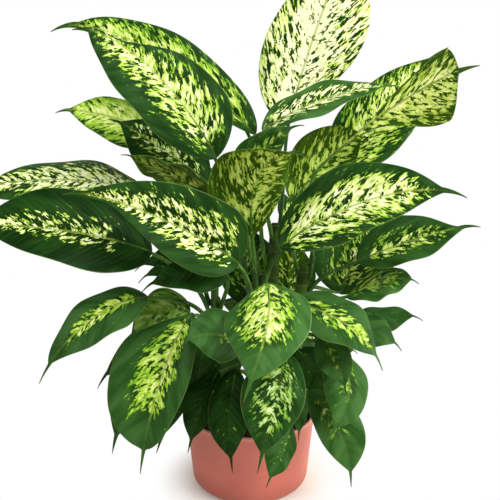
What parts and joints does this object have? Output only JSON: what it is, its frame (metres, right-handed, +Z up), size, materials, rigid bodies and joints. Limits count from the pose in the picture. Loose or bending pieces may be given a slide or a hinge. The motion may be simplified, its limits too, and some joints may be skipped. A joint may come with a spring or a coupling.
{
  "type": "potted dieffenbachia",
  "caption": "Bushy variegated dieffenbachia with large pointed cream-and-green leaves on short canes, standing in a round tapered terracotta-coloured plastic nursery pot.",
  "frame": {"origin": "centre of the pot's flat underside, which is what the part stands on", "axes": "+Z straight up the plant; -Y faces the viewer of the picture; +X to the viewer's right"},
  "size_m": [0.5425, 0.376, 0.6254],
  "materials": {
    "pot": "satin moulded",
    "soil": "rough crumbled",
    "cane": "satin",
    "leaf": "waxy semi-gloss"
  },
  "bodies": {
    "root": {"pot": "pot", "soil": "soil", "cane_front": "cane", "cane_middle": "cane", "cane_left": "cane", "cane_right": "cane", "cane_back": "cane", "leaf_top_left_front": "leaf", "leaf_top_left_behind": "leaf", "leaf_left_yellow_behind": "leaf", "leaf_left_dark_under": "leaf", "leaf_left_olive_edge": "leaf", "leaf_far_left_upper": "leaf", "leaf_far_left_lower": "leaf", "leaf_centre_left_front": "leaf", "leaf_central_arch": "leaf", "leaf_central_lit_edge": "leaf", "leaf_upper_centre_level": "leaf", "leaf_top_upright": "leaf", "leaf_upper_right_behind": "leaf", "leaf_upper_right_curled": "leaf", "leaf_upper_right_inner": "leaf", "leaf_right_broad": "leaf", "leaf_right_lower_hook": "leaf", "leaf_right_patterned": "leaf", "leaf_right_small_upper": "leaf", "leaf_right_plain_upper": "leaf", "leaf_right_plain_lower": "leaf", "leaf_centre_right_front": "leaf", "leaf_right_olive_sliver": "leaf", "leaf_centre_mottled": "leaf", "leaf_front_centre": "leaf", "leaf_left_front_grey": "leaf", "leaf_front_lower_cream": "leaf", "leaf_front_small_low": "leaf", "leaf_front_tip_low": "leaf", "leaf_right_front_upper": "leaf", "leaf_right_front_broad": "leaf", "leaf_right_front_long": "leaf", "leaf_right_olive_behind": "leaf", "leaf_left_drooping": "leaf", "leaf_left_front_big": "leaf", "leaf_left_behind_low": "leaf", "leaf_left_behind_tip": "leaf", "leaf_left_hair_tip": "leaf", "leaf_left_olive_back": "leaf", "leaf_left_under_dark": "leaf", "leaf_left_small_tip_upper": "leaf", "leaf_left_small_tip_lower": "leaf", "leaf_pot_front_left": "leaf", "leaf_pot_front_mid": "leaf", "leaf_front_left_green": "leaf", "leaf_back_low_left": "leaf", "leaf_back_low_right": "leaf", "leaf_back_middle": "leaf", "leaf_back_upper_left": "leaf", "leaf_back_upper_right": "leaf"}
  },
  "joints": []
}
